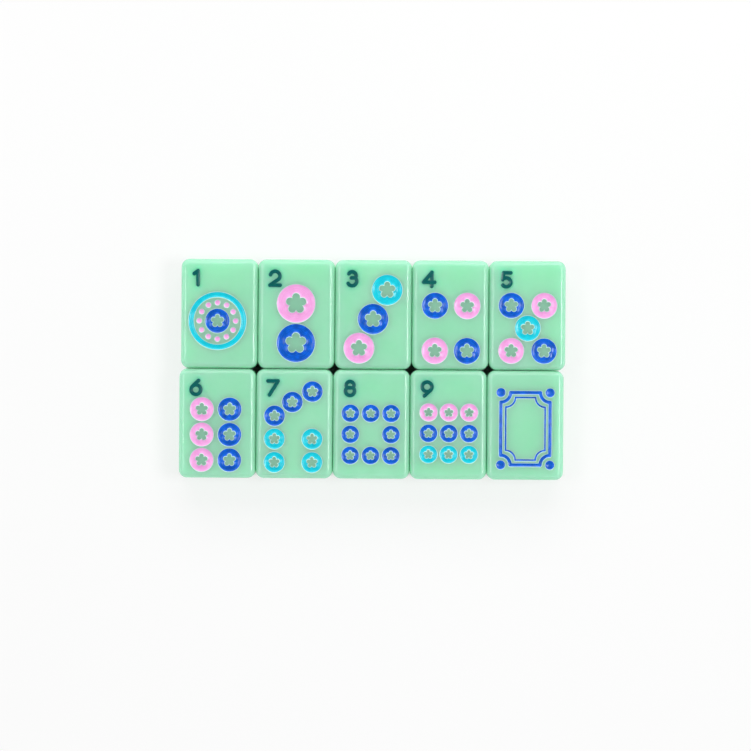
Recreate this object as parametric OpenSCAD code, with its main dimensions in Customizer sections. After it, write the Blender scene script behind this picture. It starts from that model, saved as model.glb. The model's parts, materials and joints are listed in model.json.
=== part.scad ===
// Run of mahjong tiles: the nine tiles of the dots suit and the framed blank tile called the soap,
// laid edge to edge in two rows with their faces up. Each tile is a solid acrylic block whose face is
// engraved with its numeral and pips, and each colour of paint is a separate fill seated in the recesses.
// Lengths are in millimetres. X runs along a row, Y up the faces, and the backs lie on Z = 0.

/* [Tile] */
// Width of a tile across its face
tile_w = 22.3; // [20:0.1:28]
// Length of a tile along its face
tile_l = 31.8; // [29:0.1:40]
// Thickness of a tile from back to face
tile_t = 14; // [10:0.5:26]
// Rounding radius of the edges round the face and the back
edge_r = 1.5; // [0.5:0.1:2]
// Corner radius of the flat part of the face
face_corner_r = 0.9; // [0.3:0.1:3]

/* [Rows] */
// Gap between neighbouring tiles
tile_gap = 0.1; // [0.05:0.05:1]
// Sideways step of the lower row, to the left
row_step = 0.4; // [0:0.1:3]

/* [Engraving] */
// Depth of the engraved recesses below the face
engrave_depth = 0.6; // [0.4:0.05:1.5]
// Thickness of the paint on the recess floors
paint_t = 0.35; // [0.1:0.05:0.6]
// Gap between a fill and the recess walls, left as the paint dries
paint_gap = 0.03; // [0.01:0.01:0.08]

/* [Numeral] */
// Height of a numeral
numeral_h = 5.1; // [4:0.1:6]
// Width of a numeral
numeral_w = 4; // [3.2:0.1:4.6]
// Width of a numeral's strokes
numeral_stroke = 1.05; // [0.6:0.05:1.2]
// Margin between the flat face's left side and a numeral
numeral_side = 1.4; // [0.5:0.1:2.5]
// Margin between the flat face's head and a numeral
numeral_head = 1.5; // [0.5:0.1:2.5]
// Least gap between a numeral and the pips
numeral_gap = 0.3; // [0.2:0.05:1]

/* [Pips] */
// Margin between the flat face's sides and the outermost pips
pip_side = 1.2; // [0.6:0.1:2]
// Gap between neighbouring pips where they stand closest
pip_gap = 0.6; // [0.2:0.05:1]
// Petals of the blossom left standing in each pip
petal_count = 5; // [5:1:8]
// Beads in the ring on the one-dot tile
bead_count = 12; // [8:1:12]

/* [Soap frame] */
// Width of the frame's main line
frame_stroke = 0.95; // [0.5:0.05:1.2]
// Width of the fine line inside it
inner_stroke = 0.5; // [0.3:0.05:0.8]
// Clear gap between the two lines
line_gap = 0.7; // [0.3:0.05:1.2]
// Radius of the scooped corners, to the middle of the main line
scoop_r = 2.8; // [2.2:0.1:4]
// Diameter of the dot in each scooped corner
corner_dot_d = 2.6; // [1:0.1:3]

/* [Hidden] */
$fn = 72;

// Tiles in reading order, and the paints each one carries
TILES = ["one_dot", "two_dot", "three_dot", "four_dot", "five_dot",
         "six_dot", "seven_dot", "eight_dot", "nine_dot", "soap"];
PAINTS = ["numeral", "blue", "pink", "turquoise", "frame"];
columns = 5;
soap = 9;

body_colour = [0.60, 0.88, 0.72];
paint_colours = [[0, 0.40, 0.40], [0.07, 0.37, 0.85], [0.97, 0.62, 0.90], [0.15, 0.73, 0.82],
                 [0.07, 0.37, 0.85]];

// Pips of each tile as [across, up, paint], from -1 to 1 over the middles of the outermost pips
pip_shares = [
    [[0, 0, "blue"]],
    [[0, 1, "pink"], [0, -1, "blue"]],
    [[1, 1, "turquoise"], [0, 0, "blue"], [-1, -1, "pink"]],
    [[-1, 1, "blue"], [1, 1, "pink"], [-1, -1, "pink"], [1, -1, "blue"]],
    [[-1, 1, "blue"], [1, 1, "pink"], [0, 0, "turquoise"], [-1, -1, "pink"], [1, -1, "blue"]],
    [for (v = [1, 0, -1]) each [[-0.8, v, "pink"], [0.8, v, "blue"]]],
    [[1, 1, "blue"], [-0.06, 0.7, "blue"], [-1, 0.31, "blue"],
     [-1, -0.34, "turquoise"], [1, -0.34, "turquoise"], [-1, -1, "turquoise"], [1, -1, "turquoise"]],
    [for (u = [-1, 0, 1], v = [1, 0, -1]) if (u != 0 || v != 0) [u, v, "blue"]],
    [for (u = [-1, 0, 1]) each [[u, 1, "pink"], [u, 0, "blue"], [u, -1, "turquoise"]]],
    []
];
// Foot and head of each tile's pips, as shares of the height from the flat face's foot to the numeral's foot
span_shares = [[0.175, 0.93], [0.02, 1.035], [0.01, 1.17], [0.01, 0.94], [0.02, 0.945],
               [0.015, 0.985], [0.01, 1.205], [0.125, 0.905], [0.145, 0.925], [0.07, 1.135]];
// Sideways places of the pips on each tile, as the cutter left them, over the tile's width
register_shares = [-0.024, -0.004, -0.004, 0.008, 0.004, -0.02, -0.012, -0.008, 0.006, 0];
// Gap between each tile's pips, over the closest gap
gap_shares = [1, 0.7, 1, 3, 1.35, 1, 1, 1.4, 1.3, 1];
// Blossom standing in a pip: its reach, and in its own reach the petals' middles, petals and middle disc
blossom_share = 0.57;
petal_ring_share = 0.6;
petal_share = 0.4;
middle_share = 0.55;
// One-dot tile: inside of the outer ring, circle of the beads, bead radius and middle pip, over the radius
outer_ring_share = 0.825;
bead_ring_share = 0.63;
bead_share = 0.085;
middle_pip_share = 0.42;

// Numerals, as shares of the width and height between the middles of their outermost strokes
one_shares = [[0.12, 0.8], [0.5, 1], [0.5, 0]];
four_shares = [[0.76, 0], [0.76, 1], [-0.05, 0.29], [1.05, 0.29]];
seven_shares = [[0, 1], [1, 1], [0.16, 0]];
five_top_shares = [[0.94, 1], [0.24, 1]];
// Their bowls, as radii over the height, lower one first where there are two
two_bowl_share = 0.34;
three_bowl_shares = [0.33, 0.28];
five_bowl_share = 0.32;
six_bowl_share = 0.345;
eight_bowl_shares = [0.32, 0.275];
// Where the tongue at the waist of the three ends, and the straight tail of the six, over the width
three_tongue_share = 0.42;
six_tail_share = 0.76;
// Round ends and turns of a stroke, over its width: a touch fuller, where the cutter dwells
dwell_share = 1.01;
two_start = 165;
two_end = -42;
three_open = 150;
five_start = 142;
five_end = -140;

pitch_x = tile_w + tile_gap;
pitch_y = tile_l + tile_gap;
flat_w = tile_w - 2 * edge_r;
flat_l = tile_l - 2 * edge_r;
// Middle of the strokes at the numeral box's lower left corner, from the tile's middle
stroke_w = numeral_w - numeral_stroke;
stroke_h = numeral_h - numeral_stroke;
numeral_x = numeral_side - flat_w / 2;
numeral_y = flat_l / 2 - numeral_head - numeral_h;
numeral_corner = [numeral_x + numeral_w, numeral_y];
// Room below the numeral, and the field that the pips fill on each tile
room_l = numeral_y + flat_l / 2;
field_w = flat_w - 2 * pip_side;
function field_foot(tile) = room_l * span_shares[tile][0] - flat_l / 2;
function field_head(tile) = room_l * span_shares[tile][1] - flat_l / 2;
function field_l(tile) = field_head(tile) - field_foot(tile);
function field_y(tile) = (field_head(tile) + field_foot(tile)) / 2;

// Diameter d at which two middles, p + q d apart, come to stand m d + gap apart, or the whole field
function meet_d(p, q, m, gap) =
    let (a = q * q - m * m,
         b = p * q - m * gap,
         c = p * p - gap * gap,
         root = b * b - a * c,
         d = a == 0 ? -c / (2 * b) : (-b - sqrt(max(root, 0))) / a)
    root < 0 || d < 0 ? field_w : d;
function half_field(tile, pip) = [pip[0] * field_w / 2, pip[1] * field_l(tile) / 2];
function half_share(pip) = -[pip[0], pip[1]] / 2;
// Middle of the field that a tile's pips fill
function field_middle(tile) = [register_shares[tile] * tile_w, field_y(tile)];
// Pip diameter of a tile: the largest that keeps the gaps to the next pips and to the numeral
function pip_d(tile) =
    let (pips = pip_shares[tile], last = len(pips) - 1)
    min(concat(
        [field_w, field_l(tile)],
        [for (i = [0 : last], j = [i + 1 : 1 : last])
            meet_d(half_field(tile, pips[i]) - half_field(tile, pips[j]),
                   half_share(pips[i]) - half_share(pips[j]), 1, gap_shares[tile] * pip_gap)],
        [for (pip = pips)
            meet_d(half_field(tile, pip) + field_middle(tile) - numeral_corner,
                   half_share(pip), 0.5, numeral_gap)]));
function pip_place(tile, pip) =
    half_field(tile, pip) + half_share(pip) * pip_d(tile) + field_middle(tile);

// Touching point of the line from a point outside a circle, on its left (1) or right (-1) side
function touch_angle(from, centre, r, side) =
    let (run = from - centre) atan2(run.y, run.x) + side * acos(r / norm(run));
function on_circle(centre, r, angle) = centre + r * [cos(angle), sin(angle)];
function in_box(share) = [share[0] * stroke_w, share[1] * stroke_h];
// Angle up a bowl at one end of the height at which the other end's bowl crosses it
function waist_turn(r, other_r) =
    let (apart = stroke_h - r - other_r)
    asin((apart * apart + r * r - other_r * other_r) / (2 * apart * r));

function carries(tile, paint) =
    paint == "numeral" ? tile != soap
    : paint == "frame" ? tile == soap
    : tile == 0 ? true
    : len([for (pip = pip_shares[tile]) if (pip[2] == paint) 1]) > 0;
function body_name(tile) = str(TILES[tile], "_body");
function fill_name(tile, paint) = str(TILES[tile], "_", paint, "_fill");

// Row of straight strokes through a list of points, rounded at each of them
module path_stroke(points, w) {
    for (i = [1 : len(points) - 1]) {
        run = points[i] - points[i - 1];
        translate(points[i - 1])
            rotate(atan2(run.y, run.x))
                translate([0, -w / 2])
                    square([norm(run), w]);
    }
    for (point = points)
        translate(point)
            circle(d = dwell_share * w);
}

// Stroke along part of a circle, counter-clockwise, rounded at the angles in ends
module arc_stroke(centre, r, from, to, w, ends) {
    steps = ceil((to - from) / 60);
    reach = 2 * r + w;
    translate(centre)
        intersection() {
            ring_stroke([0, 0], r, w);
            polygon(concat([[0, 0]],
                [for (i = [0 : steps]) on_circle([0, 0], reach, from + (to - from) * i / steps)]));
        }
    for (end = ends)
        translate(on_circle(centre, r, end))
            circle(d = dwell_share * w);
}

// Stroke round a whole circle
module ring_stroke(centre, r, w) {
    translate(centre)
        difference() {
            circle(r = r + w / 2);
            circle(r = r - w / 2);
        }
}

// Outline of one numeral, from the middle of its strokes at the lower left corner
module numeral(digit, w) {
    if (digit == 1)
        path_stroke([for (share = one_shares) in_box(share)], w);
    if (digit == 2)
        two(w);
    if (digit == 3)
        three(w);
    if (digit == 4)
        path_stroke([for (share = four_shares) in_box(share)], w);
    if (digit == 5)
        five(w);
    if (digit == 6)
        six(w);
    if (digit == 7)
        path_stroke([for (share = seven_shares) in_box(share)], w);
    if (digit == 8)
        eight(w);
    if (digit == 9)
        translate([stroke_w, stroke_h])
            rotate(180)
                six(w);
}

module two(w) {
    r = two_bowl_share * stroke_h;
    centre = [stroke_w / 2, stroke_h - r];
    arc_stroke(centre, r, two_end, two_start, w, [two_start]);
    path_stroke([on_circle(centre, r, two_end), [0, 0], [stroke_w, 0]], w);
}

module three(w) {
    low = three_bowl_shares[0] * stroke_h;
    high = three_bowl_shares[1] * stroke_h;
    low_turn = waist_turn(low, high);
    waist = on_circle([stroke_w / 2, low], low, low_turn);
    arc_stroke([stroke_w / 2, low], low, -three_open, low_turn, w, [-three_open]);
    arc_stroke([stroke_w / 2, stroke_h - high], high, -waist_turn(high, low), three_open, w, [three_open]);
    path_stroke([waist, [three_tongue_share * stroke_w, waist.y]], w);
}

module five(w) {
    r = five_bowl_share * stroke_h;
    centre = [stroke_w / 2, r];
    arc_stroke(centre, r, five_end, five_start, w, [five_end]);
    path_stroke(concat([for (share = five_top_shares) in_box(share)],
                       [on_circle(centre, r, five_start)]), w);
}

module six(w) {
    r = six_bowl_share * stroke_h;
    centre = [stroke_w / 2, r];
    head = [six_tail_share * stroke_w, stroke_h];
    ring_stroke(centre, r, w);
    path_stroke([head, on_circle(centre, r, touch_angle(head, centre, r, 1))], w);
}

module eight(w) {
    low = eight_bowl_shares[0] * stroke_h;
    high = eight_bowl_shares[1] * stroke_h;
    low_turn = waist_turn(low, high);
    high_turn = waist_turn(high, low);
    waist = on_circle([0, low], low, low_turn);
    arc_stroke([stroke_w / 2, low], low, -180 - low_turn, low_turn, w, []);
    arc_stroke([stroke_w / 2, stroke_h - high], high, -high_turn, 180 + high_turn, w, []);
    path_stroke([[stroke_w / 2 - waist.x, waist.y], [stroke_w / 2 + waist.x, waist.y]], w);
}

// Blossom of round petals
module blossom(reach, inset) {
    circle(r = middle_share * reach + inset);
    for (i = [0 : petal_count - 1])
        translate(on_circle([0, 0], petal_ring_share * reach, 90 + i * 360 / petal_count))
            circle(r = petal_share * reach + inset);
}

// Pip: a painted disc with a blossom left standing in it
module pip(d, inset) {
    difference() {
        circle(r = d / 2 - inset);
        blossom(blossom_share * d / 2, inset);
    }
}

// Rings and beads of the one-dot tile
module one_pip(paint, inset) {
    d = pip_d(0);
    bead_r = bead_share * d / 2;
    if (paint == "turquoise")
        difference() {
            circle(r = d / 2 - inset);
            circle(r = outer_ring_share * d / 2 + inset);
        }
    if (paint == "pink")
        for (i = [0 : bead_count - 1])
            translate(on_circle([0, 0], bead_ring_share * d / 2, 90 + i * 360 / bead_count))
                circle(r = bead_r - inset);
    if (paint == "blue")
        pip(middle_pip_share * d, inset);
}

// Frame of the soap tile: a scooped line, a fine line inside it and a dot in each scoop
module soap_frame(inset) {
    outermost = max(frame_stroke, corner_dot_d);
    half = [field_w - outermost, field_l(soap) - outermost] / 2;
    step = (frame_stroke + inner_stroke) / 2 + line_gap;
    scooped_line(half, scoop_r, frame_stroke - 2 * inset);
    scooped_line(half - [step, step], scoop_r, inner_stroke - 2 * inset);
    for (x = [-1, 1], y = [-1, 1])
        translate([x * half.x, y * half.y])
            circle(r = corner_dot_d / 2 - inset);
}

// Closed line round a rectangle whose corners are scooped out
module scooped_line(half, r, w) {
    for (side = [-1, 1]) {
        path_stroke([[r - half.x, side * half.y], [half.x - r, side * half.y]], w);
        path_stroke([[side * half.x, r - half.y], [side * half.x, half.y - r]], w);
    }
    for (turn = [[1, 1, 180], [-1, 1, 270], [-1, -1, 0], [1, -1, 90]])
        arc_stroke([turn[0] * half.x, turn[1] * half.y], r, turn[2], turn[2] + 90, w, []);
}

// Everything on a tile's face in one paint, drawn in by an inset
module figure(tile, paint, inset) {
    if (paint == "numeral")
        translate([numeral_x + numeral_stroke / 2, numeral_y + numeral_stroke / 2])
            numeral(tile + 1, numeral_stroke - 2 * inset);
    if (paint == "frame")
        translate(field_middle(soap))
            soap_frame(inset);
    if (tile == 0)
        translate(field_middle(tile))
            one_pip(paint, inset);
    if (tile > 0)
        for (pip = pip_shares[tile])
            if (pip[2] == paint)
                translate(pip_place(tile, pip))
                    pip(pip_d(tile), inset);
}

// Edge profile of a block, from the line where its corner turns out to its side
module edge_profile() {
    square([face_corner_r, tile_t]);
    translate([face_corner_r, edge_r])
        square([edge_r, tile_t - 2 * edge_r]);
    for (top = [false, true])
        translate([face_corner_r, top ? tile_t - edge_r : edge_r])
            intersection() {
                circle(r = edge_r);
                translate([0, top ? 0 : -edge_r])
                    square([edge_r, edge_r]);
            }
}

// Block with rounded corners and edges, made of a core, four sides and four corners
module block() {
    turn_r = face_corner_r + edge_r;
    core = [tile_w / 2 - turn_r, tile_l / 2 - turn_r];
    translate([-core.x, -core.y, 0])
        cube([2 * core.x, 2 * core.y, tile_t]);
    for (side = [0, 180])
        rotate(side) {
            translate([core.x, core.y, 0])
                rotate([90, 0, 0])
                    linear_extrude(2 * core.y)
                        edge_profile();
            translate([-core.x, core.y, 0])
                rotate([90, 0, 90])
                    linear_extrude(2 * core.x)
                        edge_profile();
        }
    for (corner = [[1, 1, 0], [-1, 1, 90], [-1, -1, 180], [1, -1, 270]])
        translate([corner[0] * core.x, corner[1] * core.y, 0])
            rotate(corner[2])
                rotate_extrude(angle = 90)
                    edge_profile();
}

// Place of a tile in the rows
module at_tile(tile) {
    row = floor(tile / columns);
    upper = row == 0 ? 1 : -1;
    translate([(tile % columns - (columns - 1) / 2) * pitch_x + upper * row_step / 2,
               upper * pitch_y / 2, 0])
        children();
}

module tile_body(tile) {
    color(body_colour)
        at_tile(tile)
            difference() {
                block();
                for (paint = PAINTS)
                    if (carries(tile, paint))
                        translate([0, 0, tile_t - engrave_depth])
                            linear_extrude(2 * engrave_depth)
                                figure(tile, paint, 0);
            }
}

module paint_fill(tile, paint) {
    color(paint_colours[search([paint], PAINTS)[0]])
        at_tile(tile)
            translate([0, 0, tile_t - engrave_depth])
                linear_extrude(paint_t)
                    figure(tile, paint, paint_gap);
}

for (tile = [0 : soap]) {
    tile_body(tile);
    for (paint = PAINTS)
        if (carries(tile, paint))
            paint_fill(tile, paint);
}
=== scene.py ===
"""Looks of a run of mahjong tiles: mint acrylic blocks whose engraved faces are filled with gloss paint.

Each tile's block is rebuilt with rounded rims round its recesses, and each fill of paint with a surface
that climbs the recess walls. Lengths are in metres unless a name says otherwise, and X runs along the
rows, Y up the faces and Z out of them.
"""

import json
import math

import bmesh
import bpy
import numpy as np
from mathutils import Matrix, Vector
from mathutils.geometry import delaunay_2d_cdt


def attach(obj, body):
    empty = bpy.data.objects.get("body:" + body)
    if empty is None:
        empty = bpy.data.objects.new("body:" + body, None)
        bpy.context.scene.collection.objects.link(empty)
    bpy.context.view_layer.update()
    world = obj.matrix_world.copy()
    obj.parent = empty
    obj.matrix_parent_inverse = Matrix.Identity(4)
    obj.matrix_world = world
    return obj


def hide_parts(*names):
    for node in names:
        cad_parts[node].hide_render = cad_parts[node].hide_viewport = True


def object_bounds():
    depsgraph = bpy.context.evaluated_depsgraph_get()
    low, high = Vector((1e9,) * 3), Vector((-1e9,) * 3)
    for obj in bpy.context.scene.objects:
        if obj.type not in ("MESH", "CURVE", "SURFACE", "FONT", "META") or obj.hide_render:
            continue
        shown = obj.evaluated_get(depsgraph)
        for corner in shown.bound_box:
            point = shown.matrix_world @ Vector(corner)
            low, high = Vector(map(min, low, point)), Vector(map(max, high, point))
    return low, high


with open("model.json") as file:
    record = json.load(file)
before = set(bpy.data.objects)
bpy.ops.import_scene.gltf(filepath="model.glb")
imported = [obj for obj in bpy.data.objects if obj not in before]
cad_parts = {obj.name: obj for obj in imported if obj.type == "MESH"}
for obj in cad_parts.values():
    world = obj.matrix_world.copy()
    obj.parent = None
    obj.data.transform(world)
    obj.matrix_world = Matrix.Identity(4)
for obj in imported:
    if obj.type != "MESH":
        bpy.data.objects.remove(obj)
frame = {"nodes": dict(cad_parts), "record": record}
cad_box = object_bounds()

MM = 0.001
# Distances at which points are joined, a level counts as flat and a length as nothing
WELD_MM = 0.003
FLAT_MM = 1e-3
TINY_MM = 1e-9
# Triangulation: keep what lies inside the loops, and take points this near as one
CDT_INSIDE = 1
CDT_EPSILON_MM = 1e-7
# Angle above which an edge is sharp, and least cosine at a corner, which keeps its offset short
CREASE_ANGLE = math.radians(35)
LEAST_MITRE = 0.4
# Share of its offset that a point moved off a wall must keep from all the walls
CLEAR_SHARE = 0.9

# Rounded rims of the recesses, and how they shrink where the face beside them is too narrow
RIM_R_MM = 0.2
NUMERAL_RIM_R_MM = 0.1
RIM_STEPS = 4
RIM_TRIES = 6
RIM_SHRINK = 0.65
# Largest standing island that gets painted shade for the paint round it
SHADED_ISLAND_MM2 = 30
# Face round a numeral, tinted by light that its paint sends back: grid, its margins, and the fading
TINT_GRID_MM = 0.45
TINT_CLEAR_MM = 0.3
TINT_REACH_MM = 2.0
TINT_FADE_MM = 0.8

# Paint: reach into the walls, climb up them, sink between them, reach of the climb, half width of a pool
# that sinks in full, and points that shape it
PAINT_SEAM_MM = 0.04
PAINT_CLIMB_MM = 0.07
PAINT_SINK_MM = 0.17
PAINT_CLIMB_REACH_MM = 0.34
PAINT_FULL_MM = 0.8
PAINT_RING_DEPTHS_MM = (0.05, 0.11, 0.19, 0.28)
PAINT_GRID_MM = 0.14
PAINT_GRID_MARGIN_MM = 0.32
# A numeral is filled nearly to the face: drop of its paint below the face, and share of the sink
NUMERAL_DROP_MM = 0.02
NUMERAL_DISH_SHARE = 0.2

# View from above: width at the faces, middle on the tiles, turn, and the camera's height over the faces
VIEW_W = 218.3 * MM
VIEW_X = 0.93 * MM
VIEW_Y = -1.77 * MM
VIEW_TURN = math.radians(0.4)
CAMERA_RISE = 0.8

# Noise of the materials: its finer layers, and the middle of its values
NOISE_DETAIL = 3.0
NOISE_ROUGHNESS = 0.55
NOISE_SPAN = (0.3, 0.7)
FULL_SPAN = (0, 1)

# Acrylic: colours where clear, clouded, at the sides as painted shade of the gaps, by a numeral as painted
# light from its paint, on an island as painted shade and where cut matt
MINT_CLEAR = (0.355, 0.81, 0.53, 1)
MINT_CLOUDED = (0.385, 0.83, 0.56, 1)
MINT_SIDE_SHADE = (0.32, 0.83, 0.51, 1)
MINT_TINTED = (0.26, 1.0, 0.6, 1)
MINT_ISLAND_SHADE = (0.31, 0.68, 0.46, 1)
MINT_CUT = (0.62, 0.95, 0.82, 1)
MINT_IOR = 1.49
MINT_SCATTER = 6.0 * MM
CUT_ROUGHNESS = 0.35
CLOUD_SCALE = 110
CLOUD_SPAN = (0.35, 0.65)
POLISH_SCALE = 700
POLISH_ROUGHNESS = (0.06, 0.12)
WAVE_SCALE = 260
WAVE_STRENGTH = 0.1
WAVE_HEIGHT = 0.2 * MM

# Paint: its deep and body colours, mixed along streaks that are partly painted highlight, and its colour
# where it thins at the walls
PAINTS = {
    "teal_paint": ((0.0, 0.095, 0.09, 1), (0.0, 0.13, 0.118, 1), (0.0, 0.15, 0.145, 1)),
    "blue_paint": ((0.002, 0.08, 0.46, 1), (0.003, 0.155, 0.87, 1), (0.05, 0.3, 0.85, 1)),
    "pink_paint": ((0.93, 0.37, 0.77, 1), (1.0, 0.46, 0.87, 1), (0.93, 0.55, 0.85, 1)),
    "turquoise_paint": ((0.006, 0.57, 0.72, 1), (0.01, 0.71, 0.86, 1), (0.12, 0.75, 0.86, 1)),
}
PAINT_IOR = 1.42
PAINT_THIN_MM = 0.08
PAINT_GLOSS_SCALE = 1500
PAINT_ROUGHNESS = (0.08, 0.18)
# Marks that the cutter leaves along the walls of a recess, and the grain and the streaks of the paint over
# them, partly painted highlight
MARK_SCALE = 5.0
MARK_DETAIL = 2.0
MARK_STRENGTH = 0.5
MARK_HEIGHT = 0.08 * MM
STREAK_AND_HIGHLIGHT_SCALE = 500
STREAK_AND_HIGHLIGHT_SPAN = (0.8, 1.2)
GRAIN_SCALE = 700
GRAIN_SHARE = 0.5

# Floor: drop below the backs, half its width, its paper, and the share of it that glows white
FLOOR_DROP = 0.05 * MM
FLOOR_HALF = 3.0
PAPER_DULL = (0.93, 0.94, 0.93, 1)
PAPER_BRIGHT = (0.96, 0.96, 0.96, 1)
PAPER_ROUGHNESS = 0.9
PAPER_SCALE = 4
FLOOR_GLOW = 0.7
# The glow fades out in narrow gaps, as the share of open sky over the floor falls through this span
NARROW_GAP = 10 * MM
OPEN_SPAN = (0.2, 0.45)

# Strength of the room's light at the horizon and overhead
SKY_STRENGTHS = (1.0, 0.12)
# Lamps: direction from the tiles, size and power
LAMP_DISTANCE = 0.9
LAMPS = {
    "key": ((0.0, 0.72, 0.7), (0.9, 0.6), 3.4),
    "right": ((0.42, 0.0, 0.91), (0.24, 0.22), 2.2),
    "left": ((-0.42, 0.0, 0.91), (0.24, 0.22), 1.0),
}


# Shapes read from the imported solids

def cad_mesh(node):
    """Points in millimetres and triangles of a node, with points that coincide joined into one."""
    joined = bmesh.new()
    joined.from_mesh(frame["nodes"][node].data)
    bmesh.ops.remove_doubles(joined, verts=joined.verts, dist=WELD_MM * MM)
    joined.verts.index_update()
    points = np.array([tuple(vert.co) for vert in joined.verts]) / MM
    triangles = np.array([[vert.index for vert in face.verts] for face in joined.faces])
    joined.free()
    return points, triangles


def top_level(points, triangles):
    """Which triangles lie at the highest level."""
    level = points[:, 2].max() - FLAT_MM
    return (points[triangles][:, :, 2] > level).all(axis=1)


def rim_loops(triangles):
    """Closed loops of point numbers round a patch of triangles, with the patch on their left."""
    edges = {(int(t[i]), int(t[(i + 1) % 3])): None for t in triangles for i in range(3)}
    following = {a: b for a, b in edges if (b, a) not in edges}
    loops = []
    while following:
        loop = [next(iter(following))]
        while loop[-1] in following:
            loop.append(following.pop(loop[-1]))
        loops.append(loop[:-1])
    return loops


def loop_area(loop):
    """Signed area inside a closed loop of points, positive where it turns counter-clockwise."""
    ahead = np.roll(loop, -1, axis=0)
    return (loop[:, 0] * ahead[:, 1] - loop[:, 1] * ahead[:, 0]).sum() / 2


def left_of(loop):
    """Direction to the left of a closed loop at each point, and its length for an offset of one."""
    ahead = np.roll(loop, -1, axis=0) - loop
    ahead /= np.linalg.norm(ahead, axis=1, keepdims=True)
    left = np.stack([-ahead[:, 1], ahead[:, 0]], axis=1)
    mitre = left + np.roll(left, 1, axis=0)
    mitre /= np.linalg.norm(mitre, axis=1, keepdims=True)
    stretch = 1 / np.maximum((mitre * left).sum(axis=1, keepdims=True), LEAST_MITRE)
    return mitre, stretch


def wall_distance(places, loops):
    """Distance of flat places from the nearest of some closed loops."""
    starts = np.concatenate(loops)
    run = np.concatenate([np.roll(loop, -1, axis=0) for loop in loops]) - starts
    from_start = places[:, None, :] - starts[None, :, :]
    share = (from_start * run).sum(axis=2) / (run * run).sum(axis=1)
    off = from_start - np.clip(share, 0, 1)[:, :, None] * run
    return np.sqrt((off * off).sum(axis=2).min(axis=1))


def triangulate(loops, inner_points):
    """Flat points and triangles of the region inside closed loops, with more points strewn inside it."""
    points = [Vector(p) for loop in loops for p in loop] + [Vector(p) for p in inner_points]
    edges = []
    start = 0
    for loop in loops:
        count = len(loop)
        edges += [(start + i, start + (i + 1) % count) for i in range(count)]
        start += count
    result = delaunay_2d_cdt(points, edges, [], CDT_INSIDE, CDT_EPSILON_MM)
    places = np.array([tuple(p) for p in result[0]])
    faces = np.array(result[2])
    kept = inside_loops(places[faces].mean(axis=1), loops)
    return places, [tuple(f) for f in faces[kept].tolist()], result[3]


def inside_loops(places, loops):
    """Whether flat places lie inside closed loops, of which inner ones are holes and islands in turn."""
    starts = np.concatenate(loops)
    ends = np.concatenate([np.roll(loop, -1, axis=0) for loop in loops])
    level = places[:, None, 1]
    crossed = (starts[:, 1] > level) != (ends[:, 1] > level)
    rise = ends[:, 1] - starts[:, 1]
    slope = (ends[:, 0] - starts[:, 0]) / np.where(rise == 0, 1, rise)
    crossing_x = starts[:, 0] + (level - starts[:, 1]) * slope
    return (crossed & (crossing_x > places[:, None, 0])).sum(axis=1) % 2 == 1


def hex_grid(low, high, spacing):
    """Staggered grid of places over a rectangle."""
    rise = spacing * math.sqrt(3) / 2
    rows = np.arange(low[1], high[1], rise)
    across = np.arange(low[0], high[0], spacing)
    return np.array([(x + (i % 2) * spacing / 2, y) for i, y in enumerate(rows) for x in across])


def new_piece(name, points_mm, faces):
    """Smooth-shaded mesh object from points in millimetres."""
    mesh = bpy.data.meshes.new(name)
    mesh.from_pydata([tuple(p) for p in np.asarray(points_mm) * MM], [], faces)
    mesh.shade_smooth()
    mesh.set_sharp_from_angle(angle=CREASE_ANGLE)
    piece = bpy.data.objects.new(name, mesh)
    bpy.context.scene.collection.objects.link(piece)
    return piece


def mark_points(piece, name, values):
    """Keep a value at each point of a piece for its material."""
    attribute = piece.data.attributes.new(name, "FLOAT", "POINT")
    attribute.data.foreach_set("value", values)


# Tile blocks

def block_normals(points, low, high, edge_r, corner_r):
    """Normals of a block with rounded edges and corners, and how far points lie outside its flat face."""
    middle = (low + high) / 2
    core = (high - low) / 2 - edge_r - corner_r
    out = points[:, :2] - middle[:2]
    out = out - np.clip(out, -core[:2], core[:2])
    reach = np.linalg.norm(out, axis=1)
    sideways = reach - corner_r
    rise = points[:, 2] - np.clip(points[:, 2], low[2] + edge_r, high[2] - edge_r)
    flat = out / np.maximum(reach, TINY_MM)[:, None] * np.maximum(sideways, 0)[:, None]
    normals = np.column_stack([flat, rise])
    lengths = np.linalg.norm(normals, axis=1, keepdims=True)
    return normals / np.maximum(lengths, TINY_MM), sideways


def rim_radii(rim, inward, walls, widest):
    """Radius of the rounded rim at each point of a loop, less where the face inside it is narrow."""
    radii = np.full(len(rim), widest)
    tight = np.arange(len(rim))
    for _ in range(RIM_TRIES):
        reach = rim[tight] + inward[tight] * radii[tight, None]
        tight = tight[wall_distance(reach, walls) < CLEAR_SHARE * radii[tight]]
        radii[tight] *= RIM_SHRINK
    eased = (np.roll(radii, 1) + radii + np.roll(radii, -1)) / 3
    return np.minimum(radii, eased)


def in_numeral(tile, points):
    """Which points of a tile lie by its numeral."""
    node = f"{tile}_numeral_fill"
    if node not in frame["nodes"]:
        return np.zeros(len(points), dtype=bool)
    fill = cad_mesh(node)[0][:, :2]
    low, high = fill.min(axis=0) - RIM_R_MM, fill.max(axis=0) + RIM_R_MM
    return ((points[:, :2] > low) & (points[:, :2] < high)).all(axis=1)


def tint_places(numeral, loops):
    """Places on the face round a numeral, clear of the loops that bound the face."""
    if not numeral:
        return np.zeros((0, 2))
    corners = np.concatenate(numeral)
    grid = hex_grid(corners.min(axis=0) - TINT_REACH_MM, corners.max(axis=0) + TINT_REACH_MM, TINT_GRID_MM)
    clear = wall_distance(grid, loops) > TINT_CLEAR_MM
    return grid[clear & inside_loops(grid, loops)]


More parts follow.
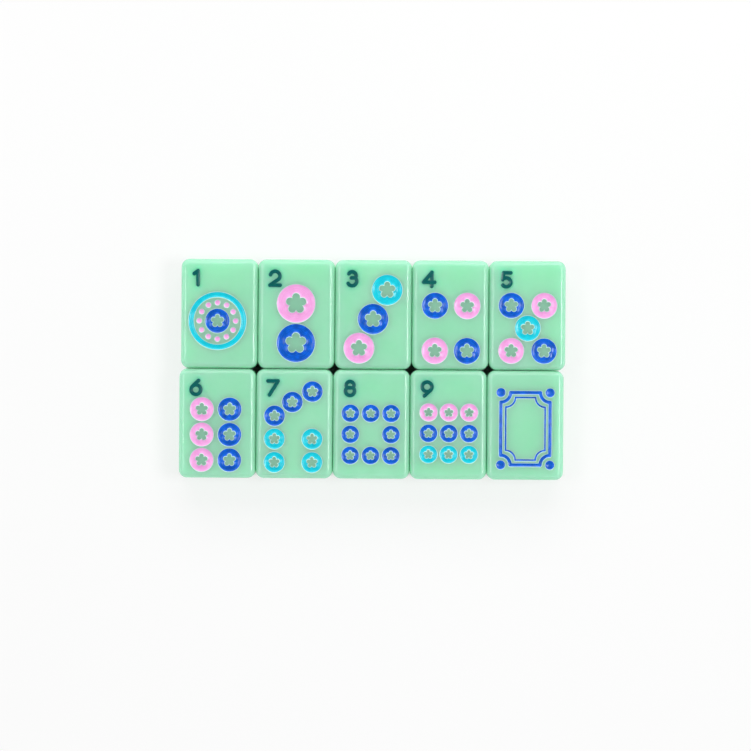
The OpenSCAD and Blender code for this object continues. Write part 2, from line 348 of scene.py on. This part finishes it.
def set_block_normals(mesh, flat_start, shell_normals, outside, rim_normals):
    """Shade a block's flat face flat, its outside as one rounded block, and its rims as rounded."""
    normals = np.array([tuple(n.vector) for n in mesh.corner_normals])
    for polygon in mesh.polygons:
        numbers = list(polygon.vertices)
        corners = list(polygon.loop_indices)
        if polygon.index >= flat_start:
            normals[corners] = (0, 0, 1)
        elif outside[numbers].all():
            normals[corners] = shell_normals[numbers]
        else:
            for corner, number in zip(corners, numbers):
                normals[corner] = rim_normals.get(number, normals[corner])
    mesh.normals_split_custom_set([tuple(n) for n in normals])


def tile_block(tile):
    """Block of a tile with a rounded rim round every recess and standing island of its face."""
    points, triangles = cad_mesh(f"{tile}_body")
    low, high = points.min(axis=0), points.max(axis=0)
    top = top_level(points, triangles)
    loops = sorted(rim_loops(triangles[top]), key=lambda loop: -abs(loop_area(points[loop])))
    outline = points[loops[0]]
    edge_r = (high - low - np.ptp(outline, axis=0))[0] / 2
    along_head = outline[outline[:, 1] > outline[:, 1].max() - FLAT_MM]
    corner_r = (np.ptp(outline[:, 0]) - np.ptp(along_head[:, 0])) / 2

    all_points = [points]
    faces = [tuple(t) for t in triangles[~top]]
    rim_normals = {}
    flat_loops = [outline[:, :2]]
    flat_ids = list(loops[0])
    shaded_island_ids = []
    count = len(points)
    walls = [points[loop][:, :2] for loop in loops[1:]]
    numeral = []
    for loop, rim in zip(loops[1:], walls):
        left, stretch = left_of(rim)
        by_numeral = in_numeral(tile, rim).all()
        if by_numeral:
            numeral.append(rim)
        radii = rim_radii(rim, left * stretch, walls, NUMERAL_RIM_R_MM if by_numeral else RIM_R_MM)
        points[loop, 2] = high[2] - radii
        below = list(loop)
        for step in range(1, RIM_STEPS + 1):
            turn = step / RIM_STEPS * math.pi / 2
            across = rim + left * stretch * radii[:, None] * (1 - math.cos(turn))
            level = high[2] - radii * (1 - math.sin(turn))
            ring = list(range(count, count + len(loop)))
            all_points.append(np.column_stack([across, level]))
            for i, number in enumerate(ring):
                rim_normals[number] = (*(-left[i] * math.cos(turn)), math.sin(turn))
            for i in range(len(loop)):
                j = (i + 1) % len(loop)
                faces.append((ring[j], ring[i], below[i], below[j]))
            count += len(loop)
            below = ring
        flat_loops.append(across)
        flat_ids += below
        # Painted shade: small standing islands are marked to be darkened for the paint round them
        if 0 < loop_area(rim) < SHADED_ISLAND_MM2 and not by_numeral:
            shaded_island_ids += below
    strewn = tint_places(numeral, flat_loops)
    all_points.append(np.column_stack([strewn, np.full(len(strewn), high[2])]))
    flat_ids += range(count, count + len(strewn))
    count += len(strewn)
    flat_points, flat_faces, origins = triangulate(flat_loops, strewn)
    flat_numbers = []
    for place, origin in zip(flat_points, origins):
        if origin:
            flat_numbers.append(flat_ids[origin[0]])
        else:
            all_points.append(np.array([[*place, high[2]]]))
            flat_numbers.append(count)
            count += 1
    flat_start = len(faces)
    faces += [tuple(flat_numbers[i] for i in face) for face in flat_faces]

    all_points = np.concatenate(all_points)
    piece = new_piece(f"{tile}_block", all_points, faces)
    shell_normals, sideways = block_normals(all_points, low, high, edge_r, corner_r)
    set_block_normals(piece.data, flat_start, shell_normals, sideways > -FLAT_MM, rim_normals)
    machined = (sideways < -FLAT_MM).astype(float)
    machined[flat_numbers] = 0
    machined[in_numeral(tile, all_points)] = 0
    mark_points(piece, "machined", machined)
    # Painted shade on the small islands
    island = np.zeros(count)
    island[shaded_island_ids] = 1
    mark_points(piece, "island", island)
    if numeral:
        mark_points(piece, "tint", np.exp(-wall_distance(all_points[:, :2], numeral) / TINT_FADE_MM))
    # Painted shade: deeper green the further a point lies below the face, down the rounded edges and sides,
    # for the light in the gaps between tiles
    mark_points(piece, "side", np.clip((high[2] - all_points[:, 2]) / edge_r, 0, 1))
    return piece


# Paint fills

def regions_of(loops):
    """Closed loops grouped by region: each outer loop with the holes that lie in it."""
    outers = [loop for loop in loops if loop_area(loop) > 0]
    holes = [loop for loop in loops if loop_area(loop) < 0]
    groups = [[outer] for outer in outers]
    for hole in holes:
        inside = [inside_loops(hole[:1], [outer])[0] for outer in outers]
        groups[inside.index(True)].append(hole)
    return groups


def paint_surface(loops):
    """Flat points, triangles and wall distances of one pool of paint."""
    rings = []
    for depth in PAINT_RING_DEPTHS_MM:
        for loop in loops:
            left, stretch = left_of(loop)
            ring = loop + left * stretch * depth
            clear = wall_distance(ring, loops) > CLEAR_SHARE * depth
            rings.append(ring[clear & inside_loops(ring, loops)])
    corners = np.concatenate(loops)
    grid = hex_grid(corners.min(axis=0), corners.max(axis=0), PAINT_GRID_MM)
    clear = wall_distance(grid, loops) > PAINT_GRID_MARGIN_MM
    rings.append(grid[clear & inside_loops(grid, loops)])
    places, faces, _ = triangulate(loops, np.concatenate(rings))
    return places, faces, wall_distance(places, loops)


def paint_fill(node):
    """Paint of one colour on a tile: pools that lie in the recesses and climb their walls."""
    points, triangles = cad_mesh(node)
    floor_z, level = points[:, 2].min(), points[:, 2].max()
    numeral = "numeral" in node
    if numeral:
        level = cad_box[1][2] / MM - NUMERAL_DROP_MM - NUMERAL_DISH_SHARE * PAINT_CLIMB_MM
    loops = []
    for numbers in rim_loops(triangles[top_level(points, triangles)]):
        rim = points[numbers][:, :2]
        left, stretch = left_of(rim)
        loops.append(rim - left * stretch * PAINT_SEAM_MM)
    all_points = []
    distances = []
    faces = []
    count = 0
    for group in regions_of(loops):
        places, patch, distance = paint_surface(group)
        drawn = np.exp(-distance / PAINT_CLIMB_REACH_MM)
        dish = NUMERAL_DISH_SHARE if numeral else min(1, distance.max() / PAINT_FULL_MM)
        height = level + dish * (PAINT_CLIMB_MM * drawn - PAINT_SINK_MM * (1 - drawn))
        under, under_patch, _ = triangulate(group, [])
        under_start = count + len(places)
        all_points.append(np.column_stack([places, height]))
        all_points.append(np.column_stack([under, np.full(len(under), floor_z)]))
        distances.append(distance)
        distances.append(np.zeros(len(under)))
        faces += [tuple(count + i for i in face) for face in patch]
        faces += [tuple(under_start + i for i in reversed(face)) for face in under_patch]
        start = 0
        for loop in group:
            size = len(loop)
            for i in range(size):
                a, b = start + i, start + (i + 1) % size
                faces.append((count + b, count + a, under_start + a, under_start + b))
            start += size
        count = under_start + len(under)
    piece = new_piece(node.replace("_fill", "_paint"), np.concatenate(all_points), faces)
    mark_points(piece, "wall_distance", np.concatenate(distances))
    return piece


# Materials

class Nodes:
    """Short way to add linked nodes to a new material or world."""

    def __init__(self, owner, shader="Principled BSDF"):
        owner.use_nodes = True
        self.owner = owner
        self.tree = owner.node_tree
        self.shader = self.tree.nodes[shader]

    def add(self, kind, inputs=None, **settings):
        node = self.tree.nodes.new(kind)
        for key, value in settings.items():
            setattr(node, key, value)
        for key, value in (inputs or {}).items():
            self.put(node.inputs[key], value)
        return node

    def put(self, socket, value):
        if isinstance(value, bpy.types.NodeSocket):
            self.tree.links.new(value, socket)
        else:
            socket.default_value = value

    def shade(self, **inputs):
        for key, value in inputs.items():
            self.put(self.shader.inputs[key.replace("_", " ")], value)

    def place(self):
        return self.add("ShaderNodeTexCoord").outputs["Object"]

    def marked(self, name):
        return self.add("ShaderNodeAttribute", attribute_name=name).outputs["Fac"]

    def noise(self, vector, scale):
        inputs = {"Vector": vector, "Scale": scale, "Detail": NOISE_DETAIL, "Roughness": NOISE_ROUGHNESS}
        return self.add("ShaderNodeTexNoise", inputs).outputs["Fac"]

    def remap(self, value, span, new_span):
        inputs = {"Value": value, "From Min": span[0], "From Max": span[1],
                  "To Min": new_span[0], "To Max": new_span[1]}
        return self.add("ShaderNodeMapRange", inputs).outputs["Result"]

    def math(self, operation, a, b):
        node = self.add("ShaderNodeMath", operation=operation)
        self.put(node.inputs[0], a)
        self.put(node.inputs[1], b)
        return node.outputs[0]

    def mix(self, share, a, b):
        node = self.add("ShaderNodeMix", data_type="RGBA")
        self.put(node.inputs["Factor"], share)
        for socket, value in (("A", a), ("B", b)):
            colour = [s for s in node.inputs if s.name == socket and s.type == "RGBA"][0]
            self.put(colour, value)
        return [s for s in node.outputs if s.type == "RGBA"][0]

    def bump(self, height, strength, distance):
        inputs = {"Height": height, "Strength": strength, "Distance": distance}
        return self.add("ShaderNodeBump", inputs).outputs["Normal"]


def mint_acrylic():
    """Translucent acrylic, clouded a little, with painted shade of deeper green at its sides, pale where
    cut matt.
    """
    nodes = Nodes(bpy.data.materials.new("mint_acrylic"))
    place = nodes.place()
    machined = nodes.marked("machined")
    cloud = nodes.remap(nodes.noise(place, CLOUD_SCALE), CLOUD_SPAN, FULL_SPAN)
    clear = nodes.mix(cloud, MINT_CLEAR, MINT_CLOUDED)
    # Painted shade: deeper green at the sides
    side_shaded = nodes.mix(nodes.marked("side"), clear, MINT_SIDE_SHADE)
    tinted = nodes.mix(nodes.marked("tint"), side_shaded, MINT_TINTED)
    # Painted shade: small islands darker
    face = nodes.mix(nodes.marked("island"), tinted, MINT_ISLAND_SHADE)
    polish = nodes.remap(nodes.noise(place, POLISH_SCALE), NOISE_SPAN, POLISH_ROUGHNESS)
    nodes.shade(
        Base_Color=nodes.mix(machined, face, MINT_CUT),
        Roughness=nodes.math("MAXIMUM", polish, nodes.math("MULTIPLY", machined, CUT_ROUGHNESS)),
        IOR=MINT_IOR,
        Subsurface_Weight=nodes.remap(machined, FULL_SPAN, (1, 0)),
        Subsurface_Radius=(1.0, 1.0, 1.0),
        Subsurface_Scale=MINT_SCATTER,
        Normal=nodes.bump(nodes.noise(place, WAVE_SCALE), WAVE_STRENGTH, WAVE_HEIGHT),
    )
    return nodes.owner


def gloss_paint(name, deep, body, thin):
    """Gloss paint, pale where thin up the walls, streaked along the cutter's marks, partly as painted
    highlight.
    """
    nodes = Nodes(bpy.data.materials.new(name))
    place = nodes.place()
    depth = nodes.marked("wall_distance")
    marks = nodes.add("ShaderNodeTexNoise", {"W": depth, "Scale": MARK_SCALE, "Detail": MARK_DETAIL},
                      noise_dimensions="1D").outputs["Fac"]
    # Streaks of darker and lighter paint: partly the cutter's marks, partly painted highlight
    streak_and_highlight = nodes.remap(nodes.math("ADD", marks, nodes.noise(place, STREAK_AND_HIGHLIGHT_SCALE)), STREAK_AND_HIGHLIGHT_SPAN, FULL_SPAN)
    pool = nodes.mix(streak_and_highlight, deep, body)
    edge = nodes.remap(depth, (0, PAINT_THIN_MM), (1, 0))
    grain = nodes.math("MULTIPLY", nodes.noise(place, GRAIN_SCALE), GRAIN_SHARE)
    nodes.shade(
        Base_Color=nodes.mix(edge, pool, thin),
        Roughness=nodes.remap(nodes.noise(place, PAINT_GLOSS_SCALE), NOISE_SPAN, PAINT_ROUGHNESS),
        IOR=PAINT_IOR,
        Normal=nodes.bump(nodes.math("ADD", marks, grain), MARK_STRENGTH, MARK_HEIGHT),
    )
    return nodes.owner


MATERIALS = {"mint_acrylic": mint_acrylic()}
for name, colours in PAINTS.items():
    MATERIALS[name] = gloss_paint(name, *colours)


# Assembly

slots = {row["node"]: row["material_slot"] for row in frame["record"]["subparts"]}
for body, members in frame["record"]["behaviour"]["bodies"].items():
    for node in members:
        piece = tile_block(body) if node.endswith("_body") else paint_fill(node)
        piece.data.materials.append(MATERIALS[slots[node]])
        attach(piece, body)
        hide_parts(node)


# Floor, light and camera

def floor():
    """Matt paper, of which a share glows white where it is seen, but not deep in the gaps between tiles."""
    mesh = bpy.data.meshes.new("floor")
    z = cad_box[0][2] - FLOOR_DROP
    corners = [(-FLOOR_HALF, -FLOOR_HALF, z), (FLOOR_HALF, -FLOOR_HALF, z),
               (FLOOR_HALF, FLOOR_HALF, z), (-FLOOR_HALF, FLOOR_HALF, z)]
    mesh.from_pydata(corners, [], [(0, 1, 2, 3)])
    plane = bpy.data.objects.new("floor", mesh)
    bpy.context.scene.collection.objects.link(plane)
    nodes = Nodes(bpy.data.materials.new("floor_paper"))
    tone = nodes.remap(nodes.noise(nodes.place(), PAPER_SCALE), NOISE_SPAN, FULL_SPAN)
    nodes.shade(Base_Color=nodes.mix(tone, PAPER_DULL, PAPER_BRIGHT), Roughness=PAPER_ROUGHNESS,
                Specular_IOR_Level=0.0)
    path = nodes.add("ShaderNodeLightPath").outputs
    seen = nodes.math("MAXIMUM", nodes.math("MAXIMUM", path["Is Camera Ray"], path["Is Glossy Ray"]),
                      path["Is Transmission Ray"])
    open_sky = nodes.add("ShaderNodeAmbientOcclusion", {"Distance": NARROW_GAP}).outputs["AO"]
    glow = nodes.math("MULTIPLY", seen, nodes.remap(open_sky, OPEN_SPAN, (0, FLOOR_GLOW)))
    white = nodes.add("ShaderNodeEmission", {"Strength": 1.0})
    both = nodes.add("ShaderNodeMixShader", {"Fac": glow})
    nodes.put(both.inputs[1], nodes.shader.outputs["BSDF"])
    nodes.put(both.inputs[2], white.outputs["Emission"])
    nodes.put(nodes.tree.nodes["Material Output"].inputs["Surface"], both.outputs["Shader"])
    mesh.materials.append(nodes.owner)


def lamp(name, direction, size, power):
    """Rectangular lamp that faces the tiles from a direction."""
    light = bpy.data.lights.new(name, "AREA")
    light.shape = "RECTANGLE"
    light.size, light.size_y = size
    light.energy = power
    lamp_object = bpy.data.objects.new(name, light)
    bpy.context.scene.collection.objects.link(lamp_object)
    towards = Vector(direction).normalized()
    lamp_object.location = towards * LAMP_DISTANCE
    lamp_object.rotation_euler = towards.to_track_quat("Z", "Y").to_euler()
    lamp_object.visible_camera = False


def studio():
    """Light from a pale room, darker overhead, a wide lamp at the head and a narrow one on either side."""
    world = bpy.data.worlds.new("studio")
    bpy.context.scene.world = world
    nodes = Nodes(world, "Background")
    towards = nodes.add("ShaderNodeTexCoord").outputs["Generated"]
    split = nodes.add("ShaderNodeSeparateXYZ", {"Vector": towards})
    strength = nodes.remap(split.outputs["Z"], FULL_SPAN, SKY_STRENGTHS)
    nodes.shade(Color=(1.0, 1.0, 1.0, 1), Strength=strength)
    for name, (direction, size, power) in LAMPS.items():
        lamp(name, direction, size, power)


def camera():
    """Camera straight above the tiles, turned a little."""
    data = bpy.data.cameras.new("camera")
    data.angle = 2 * math.atan(VIEW_W / 2 / CAMERA_RISE)
    view = bpy.data.objects.new("camera", data)
    bpy.context.scene.collection.objects.link(view)
    view.location = (VIEW_X, VIEW_Y, cad_box[1][2] + CAMERA_RISE)
    view.rotation_euler = (0, 0, VIEW_TURN)
    bpy.context.scene.camera = view


floor()
studio()
camera()
bpy.context.scene.view_settings.view_transform = "Standard"
